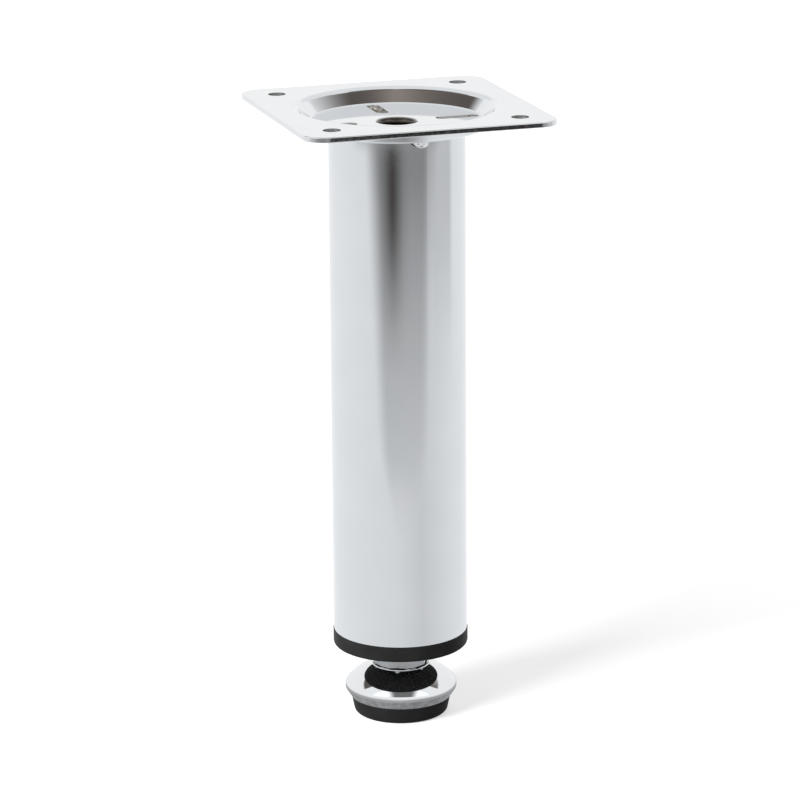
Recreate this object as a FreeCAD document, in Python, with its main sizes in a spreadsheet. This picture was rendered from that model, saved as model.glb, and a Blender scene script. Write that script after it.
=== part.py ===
"""Height adjustable furniture leg: pressed mounting plate, round tube, plug with nut, and screw foot.

Millimetres. +Z is up. The origin is the centre of the foot's underside, on the floor.
The square plate's sides run along X and Y. The foot is set as far out as in normal use,
with the screw's nut just under the tube's end cap.
"""

import FreeCAD, Part
import math
import os

import Sketcher

# Driving dimensions

SIZES = {
    "plate_side": 94.0,
    "plate_thickness": 2.0,
    "plate_corner_radius": 8.0,
    "plate_edge_round": 0.3,
    "screw_spacing": 70.0,
    "screw_hole_diameter": 6.5,
    "dish_depth": 5.6,
    "dish_mouth_radius": 36.4,
    "dish_floor_radius": 31.8,
    "bend_radius": 1.2,
    "centre_hole_diameter": 12.4,
    "centre_hole_round": 1.9,
    "bead_start_radius": 17.3,
    "bead_end_radius": 28.9,
    "bead_groove_radius": 2.3,
    "bead_groove_sink": 0.5,
    "bead_groove_round": 0.3,
    "bead_back_radius": 3.15,
    "bead_back_sink": 1.35,
    "tube_diameter": 50.0,
    "tube_wall": 1.5,
    "tube_length": 191.0,
    "notch_clearance": 0.3,
    "weld_leg": 1.2,
    "weld_end_gap": 0.8,
    "collar_diameter": 50.4,
    "collar_height": 6.0,
    "collar_round": 1.4,
    "plug_height": 20.0,
    "plug_wall": 2.0,
    "plug_clearance": 0.1,
    "cap_floor": 3.0,
    "boss_wall": 2.6,
    "boss_roof": 2.0,
    "web_thickness": 2.0,
    "thread_diameter": 12.0,
    "thread_clearance": 0.05,
    "screw_passage": 0.5,
    "nut_width": 19.0,
    "cap_nut_height": 10.0,
    "spanner_nut_height": 6.0,
    "spanner_nut_turn": 4.6,
    "collar_gap": 7.8,
    "screw_thread_length": 47.0,
    "screw_chamfer": 1.2,
    "journal_diameter": 10.0,
    "journal_tip": 1.2,
    "journal_chamfer": 0.4,
    "groove_depth": 1.0,
    "ring_diameter": 15.0,
    "ring_thickness": 1.2,
    "ring_mouth_width": 6.0,
    "ring_end_play": 0.15,
    "base_foot_radius": 17.3,
    "base_shoulder_radius": 18.7,
    "base_height": 6.6,
    "base_round": 2.0,
    "base_recess_radius": 9.5,
    "base_recess_depth": 4.4,
    "base_boss_rise": 0.1,
    "cup_sheet": 0.8,
    "cup_foot_radius": 18.9,
    "cup_rim_radius": 20.9,
    "cup_bevel_height": 3.0,
    "cup_rim_height": 1.8,
    "cup_dome_height": 7.3,
    "cup_dome_radius": 20.6,
    "cup_lip_height": 0.4,
    "cup_neck_radius": 10.7,
    "cup_rim_round": 1.8,
    "cup_bevel_round": 1.2,
    "cup_lip_round": 0.15,
    "cup_lip_edge_round": 0.2,
    "cup_clearance": 0.1,
}

BEADS = 4
WEBS = 6
HEX_CORNER = 1 / math.sqrt(3)  # a hexagon's corner radius over its width across flats
NUT_CHAMFER_SLOPE = math.tan(math.radians(30))
CLEAR = 1.1  # a cutting shape reaches this many times as far as what it cuts

document = FreeCAD.newDocument("AdjustableLeg")
sheet = document.addObject("Spreadsheet::Sheet", "Sizes")
for row, (name, number) in enumerate(SIZES.items(), start=1):
    sheet.set(f"A{row}", name)
    sheet.set(f"B{row}", str(number))
    sheet.setAlias(f"B{row}", name)
document.recompute()


class Size:
    """A size in mm with the expression that ties it to the sheet."""

    def __init__(self, number, text):
        self.number = number
        self.text = text

    def __add__(self, other):
        other = as_size(other)
        return Size(self.number + other.number, f"({self.text} + {other.text})")

    def __sub__(self, other):
        other = as_size(other)
        return Size(self.number - other.number, f"({self.text} - {other.text})")

    def __mul__(self, other):
        other = as_size(other)
        return Size(self.number * other.number, f"({self.text} * {other.text})")

    def __truediv__(self, other):
        other = as_size(other)
        return Size(self.number / other.number, f"({self.text} / {other.text})")


def as_size(value):
    return value if isinstance(value, Size) else Size(float(value), repr(float(value)))


def size(name):
    return Size(SIZES[name], f"Sizes.{name}")


def root(square):
    return Size(math.sqrt(square.number), f"sqrt({square.text})")


# Sizes that follow from the driving ones

half_spacing = size("screw_spacing") / 2
plate_rise = size("dish_depth") + size("plate_thickness")
bend_outside = size("bend_radius") + size("plate_thickness")
dish_run = size("dish_mouth_radius") - size("dish_floor_radius")
dish_slant = root(dish_run * dish_run + size("dish_depth") * size("dish_depth"))
sheet_shift = size("plate_thickness") * (dish_slant - dish_run) / size("dish_depth")

tube_radius = size("tube_diameter") / 2
tube_bore = tube_radius - size("tube_wall")
bead_back_level = size("plate_thickness") - size("bead_back_sink")
notch_radius = size("bead_back_radius") + size("notch_clearance")
plug_radius = tube_bore - size("plug_clearance")
plug_bore = plug_radius - size("plug_wall")
thread_radius = size("thread_diameter") / 2
passage_radius = thread_radius + size("screw_passage")
nut_bore = thread_radius + size("thread_clearance")
nut_corner = size("nut_width") * HEX_CORNER
boss_radius = nut_corner + size("boss_wall")
boss_top = size("cap_floor") + size("cap_nut_height") + size("boss_roof")
cap_top = size("collar_height") + size("plug_height")

journal_radius = size("journal_diameter") / 2
cup_height = (
    size("cup_bevel_height") + size("cup_rim_height") + size("cup_dome_height") + size("cup_lip_height")
)
cup_level = size("base_height")
base_top = cup_level + cup_height + size("base_boss_rise")
cap_level = base_top + size("collar_gap")
tube_level = cap_level + size("collar_height")
plate_level = tube_level + size("tube_length")
ring_top = size("base_recess_depth") - size("ring_end_play")
ring_level = ring_top - size("ring_thickness")
screw_level = ring_level - size("journal_tip")


def bind(thing, property_name, value):
    """Ties one property of an object to the sheet."""
    thing.setExpression(property_name, as_size(value).text)


def new_body(label, level=None):
    body = document.addObject("PartDesign::Body", label)
    body.Label = label
    if level is not None:
        bind(body, "Placement.Base.z", level)
    return body


def sketch_in(body, name, plane, height=None):
    """An empty sketch on one of the body's origin planes, raised by height if given."""
    origin_plane = next(f for f in body.Origin.OriginFeatures if f.Role == plane)
    sketch = body.newObject("Sketcher::SketchObject", name)
    sketch.AttachmentSupport = (origin_plane, [""])
    sketch.MapMode = "FlatFace"
    if height is not None:
        bind(sketch, "AttachmentOffset.Base.z", height)
    return sketch


def pin_point(sketch, geometry, point, across, up):
    """Holds one point of a sketch at (across, up) from the sketch's origin."""
    for kind, axis, value in (("DistanceX", -2, across), ("DistanceY", -1, up)):
        value = as_size(value)
        if value.number == 0:
            sketch.addConstraint(Sketcher.Constraint("PointOnObject", geometry, point, axis))
        else:
            index = sketch.addConstraint(
                Sketcher.Constraint(kind, -1, 1, geometry, point, value.number)
            )
            bind(sketch, f"Constraints[{index}]", value)


def arc_between(start, end, centre, radius):
    """An arc, and which of its ends (1 or 2) is the start. Sketches draw arcs anticlockwise."""
    from_start, from_end = start - centre, end - centre
    backwards = from_start.cross(from_end).z < 0
    first, last = (from_end, from_start) if backwards else (from_start, from_end)
    begin, finish = math.atan2(first.y, first.x), math.atan2(last.y, last.x)
    if finish < begin:
        finish += 2 * math.pi
    circle = Part.Circle(centre, FreeCAD.Vector(0, 0, 1), radius)
    return Part.ArcOfCircle(circle, begin, finish), 2 if backwards else 1


def closed_outline(sketch, points):
    """A closed outline through the points, each held by its own two sizes.

    A point is (across, up), and the stretch after it is straight, or (across, up, (centre across,
    centre up, radius)), and the stretch after it is an arc.
    """
    places = [FreeCAD.Vector(as_size(p[0]).number, as_size(p[1]).number, 0) for p in points]
    starts = []
    for point, start, end in zip(points, places, places[1:] + places[:1]):
        start_end = 1
        curve = Part.LineSegment(start, end)
        if len(point) == 3:
            across, up, radius = (as_size(value).number for value in point[2])
            curve, start_end = arc_between(start, end, FreeCAD.Vector(across, up, 0), radius)
        sketch.addGeometry(curve, False)
        starts.append(start_end)
    for index, point in enumerate(points):
        following = (index + 1) % len(points)
        sketch.addConstraint(
            Sketcher.Constraint("Coincident", index, 3 - starts[index], following, starts[following])
        )
        pin_point(sketch, index, starts[index], point[0], point[1])
        if len(point) == 3:
            radius = as_size(point[2][2])
            bound = sketch.addConstraint(Sketcher.Constraint("Radius", index, radius.number))
            bind(sketch, f"Constraints[{bound}]", radius)


def circle_in(sketch, across, up, radius):
    index = sketch.addGeometry(
        Part.Circle(
            FreeCAD.Vector(as_size(across).number, as_size(up).number, 0),
            FreeCAD.Vector(0, 0, 1),
            radius.number,
        ),
        False,
    )
    pin_point(sketch, index, 3, across, up)
    bound = sketch.addConstraint(Sketcher.Constraint("Radius", index, radius.number))
    bind(sketch, f"Constraints[{bound}]", radius)


def turned(body, kind, name, points):
    """A Revolution or Groove of an outline about the body's Z axis."""
    sketch = sketch_in(body, f"{name}Outline", "XZ_Plane")
    closed_outline(sketch, points)
    feature = body.newObject(f"PartDesign::{kind}", name)
    feature.Profile = sketch
    feature.ReferenceAxis = (sketch, ["V_Axis"])
    feature.Angle = 360
    document.recompute()
    return feature


def pad(body, name, sketch, length):
    feature = body.newObject("PartDesign::Pad", name)
    feature.Profile = sketch
    bind(feature, "Length", length)
    document.recompute()
    return feature


def pocket_through(body, name, sketch, both_ways=False):
    """A pocket through everything on both sides of its sketch. It has to take some material."""
    before = body.Shape.Volume
    feature = body.newObject("PartDesign::Pocket", name)
    feature.Profile = sketch
    feature.Type = "ThroughAll"
    feature.Midplane = both_ways
    document.recompute()
    if body.Shape.Volume > before - 1e-6:
        raise RuntimeError(f"{name} cuts nothing")
    return feature


def polar(body, feature, count, angle=360):
    pattern = body.newObject("PartDesign::PolarPattern", f"{feature.Name}Pattern")
    pattern.Originals = [feature]
    z_axis = next(f for f in body.Origin.OriginFeatures if f.Role == "Z_Axis")
    pattern.Axis = (z_axis, [""])
    pattern.Angle = angle
    pattern.Occurrences = count
    body.Tip = pattern
    document.recompute()
    return pattern


def ring_edges(body, radius, height):
    """Names of the body's round edges with this radius about its Z axis, at this height in it."""
    radius, height = as_size(radius).number, as_size(height).number
    found = []
    for index, edge in enumerate(body.Tip.Shape.Edges, start=1):
        curve = edge.Curve
        if not isinstance(curve, Part.Circle):
            continue
        on_axis = math.hypot(curve.Center.x, curve.Center.y) < 1e-4
        if on_axis and abs(curve.Radius - radius) < 1e-3 and abs(curve.Center.z - height) < 1e-3:
            found.append(f"Edge{index}")
    return found


def level_edges(body, height):
    """Names of a plate's outermost edges at this height in its body: its sides and corners."""
    shape, height = body.Tip.Shape, as_size(height).number
    reach = shape.BoundBox.XMax
    found = []
    for index, edge in enumerate(shape.Edges, start=1):
        box = edge.BoundBox
        flat = abs(box.ZMax - height) < 1e-4 and abs(box.ZMin - height) < 1e-4
        outermost = max(abs(box.XMin), abs(box.XMax), abs(box.YMin), abs(box.YMax)) > reach - 1e-4
        if flat and outermost:
            found.append(f"Edge{index}")
    return found


def rounded(body, name, edges, radius, kind="Fillet"):
    """Rounds (Fillet) or bevels (Chamfer) edges of the body as it stands."""
    if not edges:
        raise RuntimeError(f"{name} finds no edge")
    base = body.Tip
    feature = body.newObject(f"PartDesign::{kind}", name)
    feature.Base = (base, edges)
    bind(feature, "Radius" if kind == "Fillet" else "Size", radius)
    body.Tip = feature
    document.recompute()
    return feature


# Mounting plate: one pressed sheet with a shallow dish, four screw holes and four radial beads


def make_mounting_plate():
    body = new_body("mounting_plate", plate_level)
    half = size("plate_side") / 2
    blank = sketch_in(body, "Blank", "XY_Plane", size("dish_depth"))
    # the blank is a square about the axis, drawn by its corners
    signs = ((1, 1), (-1, 1), (-1, -1), (1, -1))
    closed_outline(blank, [(half * x, half * y) for x, y in signs])
    pad(body, "Sheet", blank, size("plate_thickness"))
    upright = [
        f"Edge{i}"
        for i, edge in enumerate(body.Tip.Shape.Edges, start=1)
        if edge.BoundBox.ZLength > SIZES["plate_thickness"] / 2
    ]
    rounded(body, "Corners", upright, size("plate_corner_radius"))

    # the dish is the same slanted line twice, the outside one shifted to keep the sheet's thickness
    turned(body, "Revolution", "DishOutside", [
        (0, 0),
        (size("dish_floor_radius") + sheet_shift, 0),
        (size("dish_mouth_radius") + sheet_shift, size("dish_depth")),
        (0, size("dish_depth")),
    ])
    turned(body, "Groove", "DishInside", [
        (0, size("plate_thickness")),
        (size("dish_floor_radius"), size("plate_thickness")),
        (size("dish_mouth_radius"), plate_rise),
        (0, plate_rise),
    ])
    thickness, depth = size("plate_thickness"), size("dish_depth")
    floor_corner, mouth_corner = size("dish_floor_radius"), size("dish_mouth_radius")
    bends = (
        ("FloorBendOutside", floor_corner + sheet_shift, 0, bend_outside),
        ("MouthBendOutside", mouth_corner, plate_rise, bend_outside),
        ("FloorBendInside", floor_corner, thickness, size("bend_radius")),
        ("MouthBendInside", mouth_corner + sheet_shift, depth, size("bend_radius")),
    )
    for name, radius, height, bend in bends:
        rounded(body, name, ring_edges(body, radius, height), bend)
    edges = level_edges(body, plate_rise) + level_edges(body, depth)
    rounded(body, "SheetEdge", edges, size("plate_edge_round"))

    centre = sketch_in(body, "CentreHoleOutline", "XY_Plane", plate_rise)
    circle_in(centre, 0, 0, size("centre_hole_diameter") / 2)
    pocket_through(body, "CentreHole", centre)
    hole_edge = ring_edges(body, size("centre_hole_diameter") / 2, thickness)
    rounded(body, "CentreHoleRim", hole_edge, size("centre_hole_round"))

    hole = sketch_in(body, "ScrewHoleOutline", "XY_Plane", plate_rise)
    circle_in(hole, half_spacing, half_spacing, size("screw_hole_diameter") / 2)
    polar(body, pocket_through(body, "ScrewHole", hole), 4)

    # each bead is a half-round rib on the back and a round-ended groove on the face
    groove_level = thickness - size("bead_groove_sink")
    back = bead_half(body, "Revolution", "BeadBack", bead_back_level, size("bead_back_radius"), 180)
    polar(body, back, BEADS)
    groove = bead_half(body, "Groove", "BeadGroove", groove_level, size("bead_groove_radius"), 360)
    polar(body, groove, BEADS)
    rounded(body, "BeadMouths", bead_mouth_edges(body, thickness), size("bead_groove_round"))
    return body


def bead_half(body, kind, name, level, radius, angle):
    """A rod with ball ends lying along the body's X axis at this level, or its lower half at 180."""
    start, end = size("bead_start_radius"), size("bead_end_radius")
    sketch = sketch_in(body, f"{name}Outline", "XZ_Plane")
    bind(sketch, "AttachmentOffset.Base.y", level)
    closed_outline(sketch, [
        (start - radius, 0, (start, 0, radius)),
        (start, radius * -1),
        (end, radius * -1, (end, 0, radius)),
        (end + radius, 0),
    ])
    feature = body.newObject(f"PartDesign::{kind}", name)
    feature.Profile = sketch
    feature.ReferenceAxis = (sketch, ["H_Axis"])
    feature.Angle = angle
    feature.Midplane = True
    document.recompute()
    return feature


def bead_mouth_edges(body, height):
    """Names of the dish floor's edges at this height that aren't circles about the body's axis."""
    height, reach = height.number, SIZES["dish_floor_radius"]
    found = []
    for index, edge in enumerate(body.Tip.Shape.Edges, start=1):
        box = edge.BoundBox
        flat = abs(box.ZMax - height) < 1e-4 and abs(box.ZMin - height) < 1e-4
        inside = max(abs(box.XMin), abs(box.XMax), abs(box.YMin), abs(box.YMax)) < reach
        if edge.Degenerated or not (flat and inside):
            continue
        curve = edge.Curve
        if isinstance(curve, Part.Circle) and math.hypot(curve.Center.x, curve.Center.y) < 1e-4:
            continue
        found.append(f"Edge{index}")
    return found


# Tube: cut to length, with a half-round notch in its upper edge that clears each bead of the plate


def make_leg_tube():
    body = new_body("leg_tube", tube_level)
    ring = sketch_in(body, "Section", "XY_Plane")
    circle_in(ring, 0, 0, tube_radius)
    circle_in(ring, 0, 0, tube_bore)
    pad(body, "Tube", ring, size("tube_length"))
    notch = sketch_in(body, "NotchOutline", "XZ_Plane")
    circle_in(notch, 0, size("tube_length") + bead_back_level, notch_radius)
    polar(body, pocket_through(body, "Notch", notch, both_ways=True), 2, 90)
    return body


# Weld: a fillet round the tube under the plate, open at the four beads


def make_weld_seam():
    cone = document.addObject("Part::Cone", "WeldCone")
    bind(cone, "Radius1", tube_radius)
    bind(cone, "Radius2", tube_radius + size("weld_leg"))
    bind(cone, "Height", size("weld_leg"))
    core = document.addObject("Part::Cylinder", "WeldCore")
    bind(core, "Radius", tube_radius)
    bind(core, "Height", size("weld_leg"))
    ring = document.addObject("Part::Cut", "WeldRing")
    ring.Base, ring.Tool = cone, core

    gap = notch_radius + size("weld_end_gap")
    reach = tube_radius + size("weld_leg") * 2
    bars = []
    for name, half_x, half_y in (("WeldGapX", reach, gap), ("WeldGapY", gap, reach)):
        bar = document.addObject("Part::Box", name)
        for property_name, value in (
            ("Length", half_x * 2),
            ("Width", half_y * 2),
            ("Height", size("weld_leg")),
            ("Placement.Base.x", half_x * -1),
            ("Placement.Base.y", half_y * -1),
        ):
            bind(bar, property_name, value)
        bars.append(bar)
    cross = document.addObject("Part::MultiFuse", "WeldGaps")
    cross.Shapes = bars
    seam = document.addObject("Part::Cut", "weld_seam")
    seam.Base, seam.Tool = ring, cross
    seam.Label = "weld_seam"
    bind(seam, "Placement.Base.z", plate_level - size("weld_leg"))
    document.recompute()
    return seam


# End cap: one moulding, a collar under the tube with a ribbed plug inside it


def make_end_cap():
    body = new_body("end_cap", cap_level)
    collar_radius = size("collar_diameter") / 2
    turned(body, "Revolution", "Moulding", [
        (passage_radius, 0),
        (collar_radius, 0),
        (collar_radius, size("collar_height")),
        (plug_radius, size("collar_height")),
        (plug_radius, cap_top),
        (plug_bore, cap_top),
        (plug_bore, size("cap_floor")),
        (boss_radius, size("cap_floor")),
        (boss_radius, boss_top),
        (passage_radius, boss_top),
    ])
    rounded(body, "CollarEdge", ring_edges(body, collar_radius, 0), size("collar_round"))

    web = sketch_in(body, "WebOutline", "XY_Plane", size("cap_floor") / 2)
    half = size("web_thickness") / 2
    # each web runs from inside the boss's wall to inside the plug's wall
    start = nut_corner + size("boss_wall") / 2
    end = plug_bore + size("plug_wall") / 2
    closed_outline(web, [(start, half * -1), (end, half * -1), (end, half), (start, half)])
    polar(body, pad(body, "Web", web, boss_top - size("cap_floor") / 2), WEBS)

    before = body.Shape.Volume
    pocket = body.newObject("PartDesign::SubtractivePrism", "NutPocket")
    pocket.Polygon = 6
    bind(pocket, "Circumradius", nut_corner)
    bind(pocket, "Height", size("cap_nut_height"))
    bind(pocket, "Placement.Base.z", size("cap_floor"))
    body.Tip = pocket
    document.recompute()
    if body.Shape.Volume > before - 1e-6:
        raise RuntimeError("the nut pocket cuts nothing")
    return body


# Nuts: hexagons with 30 degree chamfers on the corners and a round bore


def make_nut(label, level, height, turn=None):
    body = new_body(label, level)
    prism = body.newObject("PartDesign::AdditivePrism", f"{label}_hexagon")
    prism.Polygon = 6
    bind(prism, "Circumradius", nut_corner)
    bind(prism, "Height", height)
    if turn is not None:
        bind(prism, "Placement.Rotation.Angle", turn)
    document.recompute()
    inscribed = size("nut_width") / 2
    outside = nut_corner * CLEAR
    fall = (outside - inscribed) * NUT_CHAMFER_SLOPE
    turned(body, "Groove", f"{label}_lower_corners", [(inscribed, 0), (outside, 0), (outside, fall)])
    turned(body, "Groove", f"{label}_upper_corners", [
        (inscribed, height),
        (outside, height - fall),
        (outside, height),
    ])
    bore = sketch_in(body, f"{label}_bore_outline", "XY_Plane", height)
    circle_in(bore, 0, 0, nut_bore)
    pocket_through(body, f"{label}_bore", bore)
    return body


# Adjusting screw: threaded shank, and below the nut a plain journal with a groove for its ring


def make_adjusting_screw():
    body = new_body("adjusting_screw", screw_level)
    thread_start = base_top - screw_level
    top = thread_start + size("screw_thread_length")
    groove_low = ring_level - screw_level
    groove_high = groove_low + size("ring_thickness")
    groove_radius = journal_radius - size("groove_depth")
    turned(body, "Revolution", "Shank", [
        (0, 0),
        (journal_radius, 0),
        (journal_radius, groove_low),
        (groove_radius, groove_low),
        (groove_radius, groove_high),
        (journal_radius, groove_high),
        (journal_radius, thread_start),
        (thread_radius, thread_start),
        (thread_radius, top),
        (0, top),
    ])
    thread_end = ring_edges(body, thread_radius, top)
    rounded(body, "TopChamfer", thread_end, size("screw_chamfer"), "Chamfer")
    journal_end = ring_edges(body, journal_radius, 0)
    rounded(body, "JournalChamfer", journal_end, size("journal_chamfer"), "Chamfer")
    return body


# Retaining ring: a slit ring sprung into the journal's groove, under the foot's base


def make_retaining_ring():
    body = new_body("retaining_ring", ring_level)
    outside = size("ring_diameter") / 2
    inside = journal_radius - size("groove_depth")
    ring = sketch_in(body, "RingOutline", "XY_Plane")
    circle_in(ring, 0, 0, outside)
    circle_in(ring, 0, 0, inside)
    pad(body, "Ring", ring, size("ring_thickness"))
    mouth = sketch_in(body, "MouthOutline", "XY_Plane", size("ring_thickness"))
    half = size("ring_mouth_width") / 2
    reach = outside * CLEAR
    closed_outline(mouth, [(0, half * -1), (reach, half * -1), (reach, half), (0, half)])
    pocket_through(body, "Mouth", mouth)
    return body


# Foot cup: one pressed shell, a dome with a small lip round the neck and a bevel below its rim


def cup_outline(inset):
    """The cup's half outline from the bevel's foot to the neck, moved in by inset across the sheet."""
    rim_top = size("cup_bevel_height") + size("cup_rim_height")
    bevel_run = size("cup_rim_radius") - size("cup_foot_radius")
    bevel_slant = root(bevel_run * bevel_run + size("cup_bevel_height") * size("cup_bevel_height"))
    # the inset corner of two straight stretches lies on their bisector
    bevel_rise = inset * (bevel_slant - size("cup_bevel_height")) / bevel_run
    foot_shift = inset * bevel_slant / size("cup_bevel_height")

    # the dome's centre lies on the perpendicular through the middle of the chord from rim to neck
    chord_run, chord_rise = size("cup_rim_radius") - size("cup_neck_radius"), size("cup_dome_height")
    chord = root(chord_run * chord_run + chord_rise * chord_rise)
    dome_radius = size("cup_dome_radius")
    middle_distance = root(dome_radius * dome_radius - chord * chord / 4)
    centre_across = size("cup_rim_radius") - chord_run / 2 - middle_distance * chord_rise / chord
    centre_up = rim_top + chord_rise / 2 - middle_distance * chord_run / chord
    inset_dome = dome_radius - inset

    def dome_level(radius):
        across = radius - centre_across
        return centre_up + root(inset_dome * inset_dome - across * across)

    rim, neck = size("cup_rim_radius") - inset, size("cup_neck_radius") - inset
    return {
        "foot": (size("cup_foot_radius") - foot_shift, as_size(0)),
        "rim_low": (rim, size("cup_bevel_height") + bevel_rise),
        "rim_high": (rim, dome_level(rim)),
        "neck": (neck, dome_level(neck)),
        "dome": (centre_across, centre_up, inset_dome),
    }


def make_foot_cup():
    body = new_body("foot_cup", cup_level)
    outer = cup_outline(as_size(0))
    inner = cup_outline(size("cup_sheet"))
    turned(body, "Revolution", "Shell", [
        outer["foot"],
        outer["rim_low"],
        (*outer["rim_high"], outer["dome"]),
        outer["neck"],
        (outer["neck"][0], cup_height),
        (inner["neck"][0], cup_height),
        (*inner["neck"], inner["dome"]),
        inner["rim_high"],
        inner["rim_low"],
        inner["foot"],
    ])

    for corner, radius in (("rim_high", size("cup_rim_round")), ("rim_low", size("cup_bevel_round"))):
        rounded(body, f"{corner}_outside", ring_edges(body, *outer[corner]), radius)
        inside_radius = radius - size("cup_sheet")
        rounded(body, f"{corner}_inside", ring_edges(body, *inner[corner]), inside_radius)
    rounded(body, "LipFillet", ring_edges(body, *outer["neck"]), size("cup_lip_round"))
    lip = ring_edges(body, size("cup_neck_radius"), cup_height)
    rounded(body, "LipEdge", lip, size("cup_lip_edge_round"))
    return body


# Foot base: one moulding that fills the cup, carries the screw's journal and stands on the floor


def make_foot_base():
    body = new_body("foot_base")
    line = cup_outline(size("cup_sheet") + size("cup_clearance"))
    dome_across, dome_up, dome_radius = line["dome"]
    journal_bore = journal_radius + size("thread_clearance")
    turned(body, "Revolution", "Moulding", [
        (size("base_recess_radius"), 0),
        (size("base_foot_radius"), 0),
        (size("base_shoulder_radius"), cup_level),
        (line["foot"][0], cup_level),
        (line["rim_low"][0], line["rim_low"][1] + cup_level),
        (
            line["rim_high"][0],
            line["rim_high"][1] + cup_level,
            (dome_across, dome_up + cup_level, dome_radius),
        ),
        (line["neck"][0], line["neck"][1] + cup_level),
        (line["neck"][0], base_top),
        (journal_bore, base_top),
        (journal_bore, size("base_recess_depth")),
        (size("base_recess_radius"), size("base_recess_depth")),
    ])
    rim_edge = ring_edges(body, line["rim_high"][0], line["rim_high"][1] + cup_level)
    rounded(body, "RimRound", rim_edge, size("cup_rim_round") - size("cup_sheet"))
    foot_edge = ring_edges(body, size("base_foot_radius"), 0)
    rounded(body, "FootRound", foot_edge, size("base_round"))
    return body


subparts = [
    make_mounting_plate(),
    make_leg_tube(),
    make_weld_seam(),
    make_end_cap(),
    make_nut("cap_nut", cap_level + size("cap_floor"), size("cap_nut_height")),
    make_nut("spanner_nut", base_top, size("spanner_nut_height"), size("spanner_nut_turn")),
    make_adjusting_screw(),
    make_retaining_ring(),
    make_foot_cup(),
    make_foot_base(),
]
document.recompute()

for item in document.Objects:
    if "Invalid" in item.State or "Error" in item.State:
        raise RuntimeError(f"{item.Name} failed: {item.State}")
for subpart in subparts:
    if subpart.Shape.isNull() or not subpart.Shape.isValid():
        raise RuntimeError(f"{subpart.Label} has no valid shape")

os.makedirs("parts", exist_ok=True)
for subpart in subparts:
    subpart.Shape.exportStep(os.path.join("parts", f"{subpart.Label}.step"))
    box = subpart.Shape.BoundBox
    print(
        f"{subpart.Label}: {len(subpart.Shape.Solids)} solid(s), {subpart.Shape.Volume:.1f} mm3,"
        f" z {box.ZMin:.2f} to {box.ZMax:.2f}, x {box.XMin:.2f} to {box.XMax:.2f}"
    )
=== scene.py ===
import math

import bmesh
import bpy
from mathutils import Matrix, Vector


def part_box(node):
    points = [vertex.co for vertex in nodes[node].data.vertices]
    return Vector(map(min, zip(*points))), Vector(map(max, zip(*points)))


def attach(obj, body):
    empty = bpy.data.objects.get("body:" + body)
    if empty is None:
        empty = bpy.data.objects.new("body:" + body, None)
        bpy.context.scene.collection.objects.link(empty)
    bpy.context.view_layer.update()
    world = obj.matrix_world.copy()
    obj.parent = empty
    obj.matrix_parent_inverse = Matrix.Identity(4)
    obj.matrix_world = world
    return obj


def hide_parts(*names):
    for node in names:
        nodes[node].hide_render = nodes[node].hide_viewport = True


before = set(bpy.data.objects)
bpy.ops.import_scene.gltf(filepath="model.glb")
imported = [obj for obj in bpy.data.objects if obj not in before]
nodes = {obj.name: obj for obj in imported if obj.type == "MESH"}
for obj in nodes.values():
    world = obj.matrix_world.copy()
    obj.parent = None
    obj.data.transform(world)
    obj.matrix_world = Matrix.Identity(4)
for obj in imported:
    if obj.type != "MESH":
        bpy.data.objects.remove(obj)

MM = 0.001
MICRON = 0.001 * MM
TURN = 2 * math.pi
scene = bpy.context.scene


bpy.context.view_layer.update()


# Node trees


def with_alpha(colour):
    """An (r, g, b) colour with the fourth number that sockets want, and anything else as it is."""
    return (*colour, 1) if isinstance(colour, tuple) else colour


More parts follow.
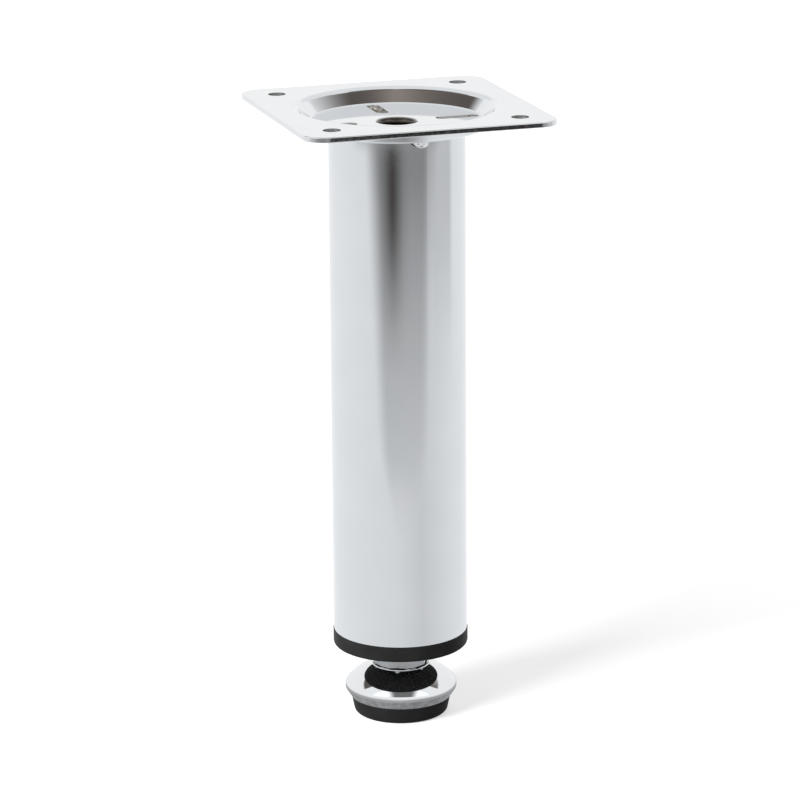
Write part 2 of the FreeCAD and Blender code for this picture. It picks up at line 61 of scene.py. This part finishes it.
class Tree:
    """Adds and links the nodes of one material or world. A mask is 1 where it holds, and else 0."""

    def __init__(self, owner):
        owner.use_nodes = True
        self.tree = owner.node_tree
        self.tree.nodes.clear()

    def node(self, kind, **settings):
        made = self.tree.nodes.new(kind)
        for name, value in settings.items():
            setattr(made, name, value)
        return made

    def link(self, source, target):
        self.tree.links.new(source, target)

    def put(self, socket, value):
        """Links value to socket if it is another node's output, and otherwise sets it."""
        if isinstance(value, bpy.types.NodeSocket):
            self.link(value, socket)
        elif value is not None:
            socket.default_value = value

    def math(self, operation, first, second=None, third=None):
        made = self.node("ShaderNodeMath", operation=operation)
        for socket, value in zip(made.inputs, (first, second, third)):
            self.put(socket, value)
        return made.outputs[0]

    def span(self, value, low, high, to_low=0.0, to_high=1.0, smooth=True):
        """Value mapped from low..high to to_low..to_high, held at the ends."""
        made = self.node("ShaderNodeMapRange")
        made.interpolation_type = "SMOOTHSTEP" if smooth else "LINEAR"
        for socket, number in zip(made.inputs[1:5], (low, high, to_low, to_high)):
            socket.default_value = number
        self.put(made.inputs[0], value)
        return made.outputs[0]

    def fall(self, value, low, high):
        """1 up to low, fading to 0 at high."""
        return self.span(value, low, high, 1.0, 0.0)

    def band(self, value, low, high, soft):
        """1 between low and high, with edges that fade over soft to either side."""
        rise = self.span(value, low - soft, low + soft)
        return self.where_all(rise, self.fall(value, high - soft, high + soft))

    def where_all(self, *masks):
        """The part that all the masks share."""
        shared = masks[0]
        for mask in masks[1:]:
            shared = self.math("MULTIPLY", shared, mask)
        return shared

    def where_any(self, *masks):
        """The part that at least one of the masks covers."""
        covered = masks[0]
        for mask in masks[1:]:
            covered = self.math("MAXIMUM", covered, mask)
        return covered

    def either(self, mask, off, on):
        """The number off where the mask is 0, and the number on where it is 1."""
        return self.span(mask, 0.0, 1.0, off, on, smooth=False)

    def ramp(self, value, stops, easing="LINEAR"):
        """A colour ramp; each stop is (place, colour)."""
        made = self.node("ShaderNodeValToRGB")
        made.color_ramp.interpolation = easing
        elements = made.color_ramp.elements
        while len(elements) < len(stops):
            elements.new(0.5)
        for element, (place, colour) in zip(elements, stops):
            element.position = place
            element.color = with_alpha(colour)
        self.put(made.inputs[0], value)
        return made.outputs[0]

    def mix(self, factor, first, second):
        """The first colour where factor is 0, and the second where it is 1."""
        made = self.node("ShaderNodeMix", data_type="RGBA")
        self.put(made.inputs["Factor"], factor)
        self.put(made.inputs[6], with_alpha(first))
        self.put(made.inputs[7], with_alpha(second))
        return made.outputs[2]

    def mix_normals(self, factor, first, second):
        made = self.node("ShaderNodeMix", data_type="VECTOR")
        self.put(made.inputs["Factor"], factor)
        self.link(first, made.inputs[4])
        self.link(second, made.inputs[5])
        return made.outputs[1]

    def noise(self, place, scale, detail, roughness=0.5, stretch=None):
        if stretch is not None:
            mapping = self.node("ShaderNodeMapping")
            mapping.inputs["Scale"].default_value = stretch
            self.link(place, mapping.inputs["Vector"])
            place = mapping.outputs[0]
        made = self.node("ShaderNodeTexNoise")
        made.inputs["Scale"].default_value = scale
        made.inputs["Detail"].default_value = detail
        made.inputs["Roughness"].default_value = roughness
        self.link(place, made.inputs["Vector"])
        return made.outputs["Fac"]

    def patches(self, noise, first, second, low=0.3, high=0.7):
        """The first colour where the noise is low and the second where it is high."""
        return self.mix(self.span(noise, low, high), first, second)

    def bump(self, height, strength, distance, normal=None):
        made = self.node("ShaderNodeBump")
        made.inputs["Strength"].default_value = strength
        made.inputs["Distance"].default_value = distance
        self.link(height, made.inputs["Height"])
        self.put(made.inputs["Normal"], normal)
        return made.outputs[0]

    def place(self):
        """The point in the object's own space, in metres."""
        return self.node("ShaderNodeTexCoord").outputs["Object"]

    def parts(self, vector):
        made = self.node("ShaderNodeSeparateXYZ")
        self.link(vector, made.inputs[0])
        return made.outputs[0], made.outputs[1], made.outputs[2]

    def length(self, x, y):
        """How far (x, y) is from (0, 0)."""
        squares = [self.math("MULTIPLY", side, side) for side in (x, y)]
        return self.math("SQRT", self.math("ADD", *squares))

    def looked_at(self):
        """1 for what the camera sees, also in a mirror or through glass, and 0 for light."""
        path = self.node("ShaderNodeLightPath")
        kinds = ("Is Camera Ray", "Is Glossy Ray", "Is Transmission Ray")
        return self.where_any(*(path.outputs[kind] for kind in kinds))

    def output(self, shader, kind="ShaderNodeOutputMaterial"):
        """Links the finished shader to the tree's output."""
        self.link(shader.outputs[0], self.node(kind).inputs["Surface"])

    def surface(self, **inputs):
        """The finished surface shader with these inputs, linked to the output."""
        shader = self.node("ShaderNodeBsdfPrincipled")
        for name, value in inputs.items():
            self.put(shader.inputs[name.replace("_", " ")], with_alpha(value))
        self.output(shader)


def new_tree(name):
    material = bpy.data.materials.new(name)
    return material, Tree(material)


def dress(obj, material):
    """Gives the whole object this one material."""
    obj.data.materials.clear()
    obj.data.materials.append(material)


# Chrome

CHROME = (0.80, 0.81, 0.822)
CLOUDING = (0.975, 0.98, 0.985)
CLOUDED_CHROME = tuple(tone * share for tone, share in zip(CHROME, CLOUDING))
# the noise's values that the roughness is spread over, and how far it spreads
FINE_NOISE = 0.3, 0.75
HAZE_SPREAD = 0.03

# a point nearer the axis than this is on the tube's inside
TUBE_INSIDE = 24.2 * MM
INSIDE_STEEL = (0.30, 0.25, 0.21), (0.42, 0.36, 0.31)
INSIDE_METALLIC = 0.3
INSIDE_ROUGHNESS = 0.5

# a point further out than this along X or Y is at the plate's edge
PLATE_EDGE = 40.5 * MM
UPRIGHT = 0.5
DISH_DEPTH = 5.6 * MM
# the beads' grooves in the dish, each a little wider and deeper here than it is
BEAD_FROM = 15.0 * MM
BEAD_TO = 31.3 * MM
BEAD_HALF = 2.4 * MM
BEAD_DEPTH = 2.9 * MM
BEAD_SOFT = 0.3 * MM
BEAD_BELOW = 0.4 * MM
# painted shade: a dark olive tints the beads' grooves, as a dark reflection would show in them
BEAD_PAINTED_SHADE = (0.30, 0.275, 0.235), (0.43, 0.40, 0.35)
BEAD_SHADE_SHARE = 0.85
# the painted shade of the centre hole, a dark brown, is full at its bore and ends at its mouth
CENTRE_HOLE_BORE = 6.8 * MM
CENTRE_HOLE_MOUTH = 7.9 * MM
CENTRE_HOLE_PAINTED_SHADE = (0.065, 0.055, 0.047), (0.11, 0.095, 0.082)
SCREW_HOLE_AT = 35.0 * MM
SCREW_HOLE_EDGE = 3.5 * MM
SCREW_HOLE_TOP = 0.2 * MM
# painted shade: the screw holes' bores are tinted grey
SCREW_BORE_PAINTED_SHADE = (0.3, 0.3, 0.3), (0.42, 0.42, 0.42)
DULL_METALLIC = 0.75
DULL_ROUGHNESS = 0.2

# the weld's ripples round the tube, how they lag with height, and how uneven they are
WELD_RIPPLES = 110.0
WELD_LAG = 420.0
WELD_UNEVEN = 3.0

CUP_RINGS = 9000.0
CUP_BEVEL_TOP = 9.8 * MM
CUP_BEVEL_SOFT = 0.5 * MM
CUP_WORN = 0.3, 0.65
CUP_SCUFF = (0.45, 0.45, 0.455)
CUP_SCUFF_SHARE = 0.8
CUP_BEVEL_ROUGHNESS = 0.14


def chrome_base(t, place, haze=0.022):
    """Base colour, roughness and bump that every chromed surface starts from."""
    cloud = t.noise(place, scale=55.0, detail=3.0)
    colour = t.patches(cloud, CHROME, CLOUDED_CHROME, low=0.35)
    fine = t.noise(place, scale=900.0, detail=4.0, roughness=0.6)
    roughness = t.span(fine, *FINE_NOISE, haze, haze + HAZE_SPREAD)
    ripple = t.noise(place, scale=38.0, detail=2.0, roughness=0.4)
    return colour, roughness, t.bump(ripple, strength=0.5, distance=30 * MICRON)


def make_tube_chrome():
    """Chromed outside with the mill's draw lines; the inside is dull brown steel, barely plated."""
    material, t = new_tree("tube_chrome")
    place = t.place()
    x, y, _ = t.parts(place)
    colour, roughness, normal = chrome_base(t, place)
    # draw lines of the tube mill, long along the axis and very shallow
    lines = t.noise(place, scale=260.0, detail=3.0, roughness=0.55, stretch=(1.0, 1.0, 0.012))
    inside = t.math("LESS_THAN", t.length(x, y), TUBE_INSIDE)
    blotch_noise = t.noise(place, scale=160.0, detail=4.0, roughness=0.6)
    t.surface(
        Base_Color=t.mix(inside, colour, t.patches(blotch_noise, *INSIDE_STEEL)),
        Metallic=t.either(inside, 1.0, INSIDE_METALLIC),
        Roughness=t.math("ADD", roughness, t.either(inside, 0.0, INSIDE_ROUGHNESS)),
        Normal=t.bump(lines, strength=0.35, distance=12 * MICRON, normal=normal),
    )
    return material


def make_plate_chrome():
    """Chromed pressed sheet. The plating is thin and dull deep in a groove or a hole, and the
    darker colour there is painted shade.
    """
    material, t = new_tree("plate_chrome")
    place = t.place()
    x, y, z = t.parts(place)
    across, along = t.math("ABSOLUTE", x), t.math("ABSOLUTE", y)
    radius = t.length(x, y)
    colour, roughness, normal = chrome_base(t, place, haze=0.03)
    plate_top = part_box("mounting_plate")[1].z
    dish_floor = plate_top - DISH_DEPTH

    # faint shear marks on the cut sides of the sheet
    true_normal = t.node("ShaderNodeNewGeometry").outputs["True Normal"]
    lean = t.math("ABSOLUTE", t.parts(true_normal)[2])
    cut = t.where_all(
        t.math("LESS_THAN", lean, UPRIGHT),
        t.math("GREATER_THAN", t.math("MAXIMUM", across, along), PLATE_EDGE),
    )
    shear = t.noise(place, scale=700.0, detail=3.0, roughness=0.6, stretch=(1.0, 1.0, 0.3))
    sheared = t.bump(shear, strength=0.15, distance=20 * MICRON, normal=normal)
    normal = t.mix_normals(cut, normal, sheared)

    # grooves of the beads, which lie along X and Y
    groove = t.where_all(
        t.band(radius, BEAD_FROM, BEAD_TO, BEAD_SOFT),
        t.fall(t.math("MINIMUM", across, along), BEAD_HALF - BEAD_SOFT, BEAD_HALF),
        t.math("GREATER_THAN", z, dish_floor - BEAD_DEPTH),
        t.fall(z, dish_floor - BEAD_BELOW, dish_floor),
    )

    # the centre hole, and the bores of the screw holes
    centre = t.fall(radius, CENTRE_HOLE_BORE, CENTRE_HOLE_MOUTH)
    from_screw = t.length(*(t.math("SUBTRACT", side, SCREW_HOLE_AT) for side in (across, along)))
    bore = t.where_all(
        t.math("LESS_THAN", from_screw, SCREW_HOLE_EDGE),
        t.math("LESS_THAN", z, plate_top - SCREW_HOLE_TOP),
    )

    blotch_noise = t.noise(place, scale=420.0, detail=4.0, roughness=0.6)
    # painted shade: the grooves, the centre hole and the screw holes' bores are tinted darker than
    # the chrome
    groove_shade_share = t.math("MULTIPLY", groove, BEAD_SHADE_SHARE)
    colour = t.mix(groove_shade_share, colour, t.patches(blotch_noise, *BEAD_PAINTED_SHADE))
    colour = t.mix(centre, colour, t.patches(blotch_noise, *CENTRE_HOLE_PAINTED_SHADE))
    colour = t.mix(bore, colour, t.patches(blotch_noise, *SCREW_BORE_PAINTED_SHADE))
    dull = t.where_any(groove, centre, bore)
    t.surface(
        Base_Color=colour,
        Metallic=t.either(dull, 1.0, DULL_METALLIC),
        Roughness=t.math("ADD", roughness, t.either(dull, 0.0, DULL_ROUGHNESS)),
        Normal=normal,
    )
    return material


def make_weld_chrome():
    """Plating over a weld bead: ripples that follow one another round the tube."""
    material, t = new_tree("weld_chrome")
    place = t.place()
    x, y, z = t.parts(place)
    colour, roughness, normal = chrome_base(t, place, haze=0.07)
    around = t.math("MULTIPLY_ADD", z, WELD_LAG, t.math("ARCTAN2", y, x))
    uneven = t.math("MULTIPLY", t.noise(place, scale=300.0, detail=2.0), WELD_UNEVEN)
    ripples = t.math("SINE", t.math("MULTIPLY_ADD", around, WELD_RIPPLES, uneven))
    normal = t.bump(ripples, strength=0.8, distance=120 * MICRON, normal=normal)
    t.surface(Base_Color=colour, Metallic=1.0, Roughness=roughness, Normal=normal)
    return material


def make_cup_chrome():
    """Chromed shell with faint turning rings, scuffed on the bevel under its rim."""
    material, t = new_tree("cup_chrome")
    place = t.place()
    x, y, z = t.parts(place)
    colour, roughness, normal = chrome_base(t, place, haze=0.03)
    rings = t.math("SINE", t.math("MULTIPLY", t.math("ADD", t.length(x, y), z), CUP_RINGS))
    bevel = t.fall(z, CUP_BEVEL_TOP - CUP_BEVEL_SOFT, CUP_BEVEL_TOP + CUP_BEVEL_SOFT)
    worn = t.span(t.noise(place, scale=420.0, detail=4.0, roughness=0.65), *CUP_WORN)
    scuffed = t.math("MULTIPLY", t.where_all(bevel, worn), CUP_SCUFF_SHARE)
    t.surface(
        Base_Color=t.mix(scuffed, colour, CUP_SCUFF),
        Metallic=1.0,
        Roughness=t.math("ADD", roughness, t.either(bevel, 0.0, CUP_BEVEL_ROUGHNESS)),
        Normal=t.bump(rings, strength=0.1, distance=2 * MICRON, normal=normal),
    )
    return material


# Plated steel and black plastic

NUT_TONE = (0.56, 0.57, 0.58)
ZINC_TONE = (0.60, 0.62, 0.66)
SCRATCH_SPREAD = 0.1
PLASTIC = (0.020, 0.020, 0.0205), (0.026, 0.026, 0.0265)
PLASTIC_ROUGHNESS = 0.4, 0.5
PLASTIC_GRAIN = 0.3, 0.7
PLASTIC_SPECK = (0.06, 0.06, 0.062)
SPECK_NOISE = 0.76, 0.84
SPECK_SHARE = 0.3


def make_steel(name, tone, haze, mottle):
    """Plated steel: a slightly mottled tone, fine scratches and a soft gloss."""
    material, t = new_tree(name)
    place = t.place()
    mottling = t.noise(place, scale=240.0, detail=4.0, roughness=0.6)
    scratches = t.noise(place, scale=700.0, detail=4.0, roughness=0.6, stretch=(0.12, 1.0, 1.0))
    t.surface(
        Base_Color=t.patches(mottling, tone, tuple(c * mottle for c in tone), low=0.35),
        Metallic=1.0,
        Roughness=t.span(scratches, *FINE_NOISE, haze, haze + SCRATCH_SPREAD),
        Normal=t.bump(scratches, strength=0.3, distance=20 * MICRON),
    )
    return material


def make_black_plastic():
    """Moulded plastic: near black, with the fine grain of its mould and small paler specks."""
    material, t = new_tree("black_plastic")
    place = t.place()
    grain = t.noise(place, scale=2600.0, detail=3.0, roughness=0.6)
    clouds = t.noise(place, scale=130.0, detail=3.0)
    specks = t.span(t.noise(place, scale=1900.0, detail=2.0), *SPECK_NOISE)
    colour = t.patches(clouds, *PLASTIC, high=0.75)
    t.surface(
        Base_Color=t.mix(t.math("MULTIPLY", specks, SPECK_SHARE), colour, PLASTIC_SPECK),
        Roughness=t.span(grain, *PLASTIC_GRAIN, *PLASTIC_ROUGHNESS),
        Specular_IOR_Level=0.05,
        Normal=t.bump(grain, strength=0.08, distance=20 * MICRON),
    )
    return material


nut_steel = make_steel("nut_steel", NUT_TONE, haze=0.04, mottle=0.8)
zinc_steel = make_steel("zinc_steel", ZINC_TONE, haze=0.2, mottle=0.85)
black_plastic = make_black_plastic()
dress(nodes["mounting_plate"], make_plate_chrome())
dress(nodes["leg_tube"], make_tube_chrome())
dress(nodes["weld_seam"], make_weld_chrome())
dress(nodes["foot_cup"], make_cup_chrome())
dress(nodes["spanner_nut"], nut_steel)
dress(nodes["cap_nut"], zinc_steel)
dress(nodes["retaining_ring"], zinc_steel)
dress(nodes["end_cap"], black_plastic)
dress(nodes["foot_base"], black_plastic)


# Screw with its real thread, in place of the plain one

PITCH = 1.75 * MM
MAJOR = 6.0 * MM
MINOR = 5.05 * MM
# flat parts of the crest and the root, in half pitches from the crest's middle
CREST_TO = 0.14
ROOT_FROM = 0.8
RUN_OUT = 0.8 * PITCH
THREAD_START = 19.2 * MM
SCREW_TOP = 66.2 * MM
TOP_CHAMFER = 1.2 * MM
JOURNAL = 5.0 * MM
JOURNAL_CHAMFER = 0.4 * MM
GROOVE = 4.0 * MM
GROOVE_LOW = 3.05 * MM
GROOVE_HIGH = 4.25 * MM
ROWS_PER_TURN = 10
AROUND = 72
SHARP_FROM = math.radians(32)


def thread_radius(turn, height):
    """The thread's surface at this turn and height, with flanks close to 60 degrees."""
    along = (height / PITCH - turn / TURN) % 1.0
    from_crest = abs(along - 0.5) * 2
    depth = min(max((from_crest - CREST_TO) / (ROOT_FROM - CREST_TO), 0.0), 1.0)
    grown = min((height - THREAD_START) / RUN_OUT, 1.0)
    radius = MAJOR - (MAJOR - MINOR) * depth * grown
    below_top = SCREW_TOP - height
    return min(radius, MAJOR - TOP_CHAMFER + below_top)


def screw_rows():
    """The screw from its lower end up: in each row the radius and the height at every turn."""
    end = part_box("adjusting_screw")[0].z
    journal = [
        (JOURNAL - JOURNAL_CHAMFER, end),
        (JOURNAL, end + JOURNAL_CHAMFER),
        (JOURNAL, GROOVE_LOW),
        (GROOVE, GROOVE_LOW),
        (GROOVE, GROOVE_HIGH),
        (JOURNAL, GROOVE_HIGH),
        (JOURNAL, THREAD_START),
    ]
    rows = [[point] * AROUND for point in journal]
    count = round((SCREW_TOP - THREAD_START) / PITCH * ROWS_PER_TURN)
    for row in range(count + 1):
        height = THREAD_START + (SCREW_TOP - THREAD_START) * row / count
        rows.append([(thread_radius(TURN * i / AROUND, height), height) for i in range(AROUND)])
    return rows


def make_screw():
    mesh = bmesh.new()
    rings = []
    for row in screw_rows():
        ring = []
        for i, (radius, height) in enumerate(row):
            turn = TURN * i / AROUND
            ring.append(mesh.verts.new((radius * math.cos(turn), radius * math.sin(turn), height)))
        rings.append(ring)
    for lower, upper in zip(rings, rings[1:]):
        for i in range(AROUND):
            j = (i + 1) % AROUND
            mesh.faces.new((lower[i], lower[j], upper[j], upper[i]))
    mesh.faces.new(list(reversed(rings[0])))
    mesh.faces.new(rings[-1])
    data = bpy.data.meshes.new("screw")
    mesh.to_mesh(data)
    mesh.free()
    screw = bpy.data.objects.new("screw", data)
    scene.collection.objects.link(screw)
    data.shade_smooth()
    data.set_sharp_from_angle(angle=SHARP_FROM)
    dress(screw, zinc_steel)
    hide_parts("adjusting_screw")
    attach(screw, "screw")


make_screw()


# Camera

CAMERA_PLACE = Vector((-0.41260, -1.29983, 0.5018))
CAMERA_YAW = math.radians(17.629)
CAMERA_DOWN = 0.2723
CAMERA_ROLL = -0.0075
CAMERA_LENS = 172.525


def make_camera():
    data = bpy.data.cameras.new("camera")
    data.lens = CAMERA_LENS
    data.sensor_width = 36.0
    data.clip_start = 0.05
    data.clip_end = 50.0
    camera = bpy.data.objects.new("camera", data)
    scene.collection.objects.link(camera)
    camera.matrix_world = (
        Matrix.Translation(CAMERA_PLACE)
        @ Matrix.Rotation(-CAMERA_YAW, 4, "Z")
        @ Matrix.Rotation(math.pi / 2 - CAMERA_DOWN, 4, "X")
        @ Matrix.Rotation(CAMERA_ROLL, 4, "Z")
    )
    scene.camera = camera


# Room, lights and a white floor that keeps the leg's shadow

ROOM_LIGHT = 0.15
LIGHT_AIM = Vector((0, 0, 0.1))
WHITE = (1.0, 1.0, 1.0)
FLOOR_HALF = 8.0
FLOOR_TONE = (0.8, 0.8, 0.8)
# the floor's lift to white, up to FLOOR_LIT metres from the leg and from FLOOR_UNLIT on
FLOOR_GLOW = 0.62
FLOOR_GLOW_FAR = 0.94
FLOOR_LIT = 0.5
FLOOR_UNLIT = 2.0


def make_card(name, material, left, right, front, behind):
    """A level stage piece that reaches this far from the leg's axis to each side."""
    corners = [(left, -front, 0), (right, -front, 0), (right, behind, 0), (left, behind, 0)]
    data = bpy.data.meshes.new(name)
    data.from_pydata(corners, [], [(0, 1, 2, 3)])
    card = bpy.data.objects.new(name, data)
    scene.collection.objects.link(card)
    dress(card, material)
    return card


def make_floor():
    """Pale matt floor. What looks at it sees it lifted to white, with the leg's shadow kept."""
    material, t = new_tree("floor_white")
    x, y, _ = t.parts(t.place())
    # the lights reach only the middle of the floor, so the rest is lifted further
    lift = t.span(t.length(x, y), FLOOR_LIT, FLOOR_UNLIT, FLOOR_GLOW, FLOOR_GLOW_FAR)
    glow = t.node("ShaderNodeEmission")
    t.put(glow.inputs["Color"], with_alpha(WHITE))
    t.put(glow.inputs["Strength"], t.math("MULTIPLY", t.looked_at(), lift))
    matt = t.node("ShaderNodeBsdfDiffuse")
    t.put(matt.inputs["Color"], with_alpha(FLOOR_TONE))
    lit = t.node("ShaderNodeAddShader")
    t.link(matt.outputs[0], lit.inputs[0])
    t.link(glow.outputs[0], lit.inputs[1])
    # from below the floor is clear, so that the foot's underside can be seen
    sided = t.node("ShaderNodeMixShader")
    t.link(t.node("ShaderNodeNewGeometry").outputs["Backfacing"], sided.inputs[0])
    t.link(lit.outputs[0], sided.inputs[1])
    t.link(t.node("ShaderNodeBsdfTransparent").outputs[0], sided.inputs[2])
    t.output(sided)
    half = FLOOR_HALF
    return make_card("floor", material, -half, half, half, half)


def make_room():
    """White walls and ceiling all round."""
    world = bpy.data.worlds.new("room")
    scene.world = world
    t = Tree(world)
    background = t.node("ShaderNodeBackground")
    t.put(background.inputs["Color"], with_alpha(WHITE))
    t.put(background.inputs["Strength"], t.either(t.looked_at(), ROOM_LIGHT, 1.0))
    t.output(background, "ShaderNodeOutputWorld")


def make_light(name, place, size, watts):
    """A square soft light aimed near the middle of the leg, and not seen in the chrome."""
    data = bpy.data.lights.new(name, "AREA")
    data.shape = "SQUARE"
    data.size = size
    data.energy = watts
    light = bpy.data.objects.new(name, data)
    scene.collection.objects.link(light)
    light.location = place
    aim = LIGHT_AIM - Vector(place)
    light.rotation_euler = aim.to_track_quat("-Z", "Y").to_euler()
    light.visible_glossy = False


# Flags, which are cards that only the chrome's reflections see

HALF_TURN = 180.0
ANGLE_SOFT = 6.0


def cool(tone):
    """A grey of this tone with the room's faint blue."""
    return (tone * 0.985, tone, tone * 1.015)


def warm(tone):
    """A grey of this tone with the brown of the room's darker parts."""
    return (tone * 1.12, tone * 0.98, tone * 0.9)


def flag_axes(t):
    """Metres to the camera's right and towards the camera, the distance, and the angle in degrees.

    All are taken from the leg's axis. The angle is 0 towards the camera and grows to its right.
    """
    right, behind, _ = t.parts(t.place())
    toward = t.math("MULTIPLY", behind, -1.0)
    angle = t.math("DEGREES", t.math("ARCTAN2", right, toward))
    return right, toward, t.length(right, toward), angle


def angle_ramp(t, angle, stops, easing="LINEAR"):
    """A colour ramp round the leg; each stop is (degrees, colour)."""
    turn = t.span(angle, -HALF_TURN, HALF_TURN, smooth=False)
    places = [((degrees + HALF_TURN) / (2 * HALF_TURN), colour) for degrees, colour in stops]
    return t.ramp(turn, places, easing)


def make_flag(name, material, height, left, right, front, behind):
    """A card at this height, turned to face the camera, that only reflections see."""
    flag = make_card(name, material, left, right, front, behind)
    flag.matrix_world = Matrix.Translation((0, 0, height)) @ Matrix.Rotation(-CAMERA_YAW, 4, "Z")
    for kind in ("camera", "diffuse", "transmission", "volume_scatter", "shadow"):
        setattr(flag, f"visible_{kind}", False)
    return flag


def glowing(t, tone, strength=1.0):
    """Links a surface that shines in this tone to the output."""
    glow = t.node("ShaderNodeEmission")
    t.put(glow.inputs["Color"], tone)
    t.put(glow.inputs["Strength"], strength)
    t.output(glow)


# Low flag: a white table with a grey shape on it, sizes in metres and degrees from the leg

TABLE_HEIGHT = 0.0001
TABLE_HALF = 6.0
TABLE_TONES = [
    (-180.0, cool(1.0)),
    (0.0, cool(0.8)),
    (36.0, cool(0.7)),
    (90.0, cool(0.85)),
    (180.0, cool(1.0)),
]
STRIP_ANGLES = 60.0, 100.0
STRIP_RISE = 0.45, 0.95
STRIP_TONE = cool(0.62)
# the grey shape's middle, its half width a metre out, and the power by which it widens
SHAPE_MIDDLE = 8.0
SHAPE_HALF = 52.0
SHAPE_WIDENS = 0.4
SHAPE_WHOLE = 0.2, 0.42
SHAPE_NARROWEST = 0.35
SHAPE_EDGE = 0.65, 1.25
SHAPE_RISE = 0.24, 0.4
SHAPE_TONES = [(0.3, cool(0.68)), (0.6, cool(0.5)), (1.0, cool(0.28))]
CORE_ANGLES = -20.0, 4.0
CORE_SOFT = 15.0
CORE_RISE = 0.5, 0.95
CORE_FALL = 1.0, 1.12
CORE_LEFT = 0.75
CORE_TONE = warm(0.05)
PLAIN_RISE = 1.2, 1.6
PLAIN_TONE = cool(1.0)
BORDER = 1.085, 1.25
BORDER_SOFT = 0.03
BORDER_ANGLES = 58.0, 86.0
BORDER_SHARE = 0.6
BORDER_TONE = cool(0.36)
EDGE_ANGLES = 24.0, 46.0
EDGE_RISE = 1.115, 1.135
EDGE_FALL = 1.18, 1.3
EDGE_TONE = warm(0.015)
FOOT_SHADE = 0.45
FOOT_SHADE_ENDS = 0.03, 0.1


def make_table_flag():
    """What the chrome shows low down: a white table, a grey shape on it, and its edge in front."""
    material, t = new_tree("table_flag")
    _, _, distance, angle = flag_axes(t)
    # the table is a little darker in front and to the right
    tone = angle_ramp(t, angle, TABLE_TONES)
    # a light grey strip beside the grey shape
    strip = t.where_all(t.band(angle, *STRIP_ANGLES, ANGLE_SOFT), t.span(distance, *STRIP_RISE))
    tone = t.mix(strip, tone, STRIP_TONE)
    # the grey shape widens and darkens away from the leg
    half = t.math("MULTIPLY", t.math("POWER", distance, SHAPE_WIDENS), SHAPE_HALF)
    half = t.math("MULTIPLY", half, t.span(distance, *SHAPE_WHOLE, SHAPE_NARROWEST, 1.0))
    off_middle = t.math("ABSOLUTE", t.math("SUBTRACT", angle, SHAPE_MIDDLE))
    shape = t.fall(t.math("DIVIDE", off_middle, half), *SHAPE_EDGE)
    shape = t.where_all(shape, t.span(distance, *SHAPE_RISE))
    tone = t.mix(shape, tone, t.ramp(distance, SHAPE_TONES))
    # its core is nearly black
    core = t.where_all(
        t.band(angle, *CORE_ANGLES, CORE_SOFT),
        t.span(distance, *CORE_RISE),
        t.span(distance, *CORE_FALL, 1.0, CORE_LEFT),
    )
    tone = t.mix(core, tone, CORE_TONE)
    # further out there is only the plain room
    tone = t.mix(t.span(distance, *PLAIN_RISE), tone, PLAIN_TONE)
    # the table's dark edge in front, with a grey border before it
    border = t.where_all(
        t.band(distance, *BORDER, BORDER_SOFT),
        t.fall(t.math("ABSOLUTE", angle), *BORDER_ANGLES),
    )
    tone = t.mix(t.math("MULTIPLY", border, BORDER_SHARE), tone, BORDER_TONE)
    edge = t.where_all(
        t.span(distance, *EDGE_RISE),
        t.fall(distance, *EDGE_FALL),
        t.band(angle, *EDGE_ANGLES, ANGLE_SOFT),
    )
    tone = t.mix(edge, tone, EDGE_TONE)
    # the leg keeps the light off the table close round its foot
    glowing(t, tone, t.span(distance, *FOOT_SHADE_ENDS, FOOT_SHADE, 1.0))
    half = TABLE_HALF
    return make_flag("table_flag", material, TABLE_HEIGHT, -half, half, half, half)


# High flag: a brown patch of ceiling and a grey bar, in metres and degrees from the leg

CEILING_HEIGHT = 0.48
CEILING_SIDE = 0.6
CEILING_FRONT = 0.42
BROWN_TONES = [
    (-144.0, cool(1.0)),
    (-126.0, warm(0.1)),
    (0.0, warm(0.25)),
    (90.0, warm(0.1)),
    (162.0, cool(1.0)),
]
BROWN_TURNS = -0.12, 0.04
BROWN_BEHIND = 0.58
BROWN_FRONT = 0.17
BROWN_SOFT = 0.03
BAR_START = 0.1, 0.16
BAR_SIDES = -0.14, 0.2
BAR_SOFT = 0.06
BAR_TONE = cool(0.18)
BESIDE_BAR_TONE = cool(1.3)
# the light wedge begins this many degrees round, and this many more for each metre out
WEDGE_FROM = 110.0
WEDGE_NARROWS = 80.0
WEDGE_SOFT = 8.0
WEDGE_TONE = cool(0.88)


def make_ceiling_flag():
    """The dark part of the room over the leg, seen in the dish's wall and in the cup's dome."""
    material, t = new_tree("ceiling_flag")
    right, toward, distance, angle = flag_axes(t)
    # brown on both sides, lighter in the middle, and fading out on the camera's right
    brown = angle_ramp(t, angle, BROWN_TONES, "EASE")
    # it reaches further out behind the leg than in front
    reach = t.span(toward, *BROWN_TURNS, BROWN_BEHIND, BROWN_FRONT)
    outside = t.span(t.math("SUBTRACT", distance, reach), -BROWN_SOFT, BROWN_SOFT)
    tone = t.mix(outside, brown, cool(1.0))
    # a grey bar runs from there towards the camera, between light fields
    bar = t.band(right, *BAR_SIDES, BAR_SOFT)
    bar_tone = t.mix(bar, BESIDE_BAR_TONE, BAR_TONE)
    tone = t.mix(t.span(toward, *BAR_START), tone, bar_tone)
    # straight behind the leg the room is light, in a wedge that narrows outwards
    wedge_side = t.math("MULTIPLY_ADD", distance, WEDGE_NARROWS, WEDGE_FROM)
    into_wedge = t.math("SUBTRACT", t.math("ABSOLUTE", angle), wedge_side)
    tone = t.mix(t.span(into_wedge, -WEDGE_SOFT, WEDGE_SOFT), tone, WEDGE_TONE)
    glowing(t, tone)
    side = CEILING_SIDE
    make_flag("ceiling_flag", material, CEILING_HEIGHT, -side, side, CEILING_FRONT, side)


# the foot stands on the floor, so the floor goes down with it when the leg is set longer
for level in (make_floor(), make_table_flag()):
    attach(level, "foot")
make_ceiling_flag()
make_room()
make_light("key", place=(-1.3, -0.6, 0.9), size=0.8, watts=32.0)
make_light("fill", place=(0.4, 1.2, 0.9), size=1.0, watts=4.0)
make_camera()
scene.view_settings.view_transform = "Standard"
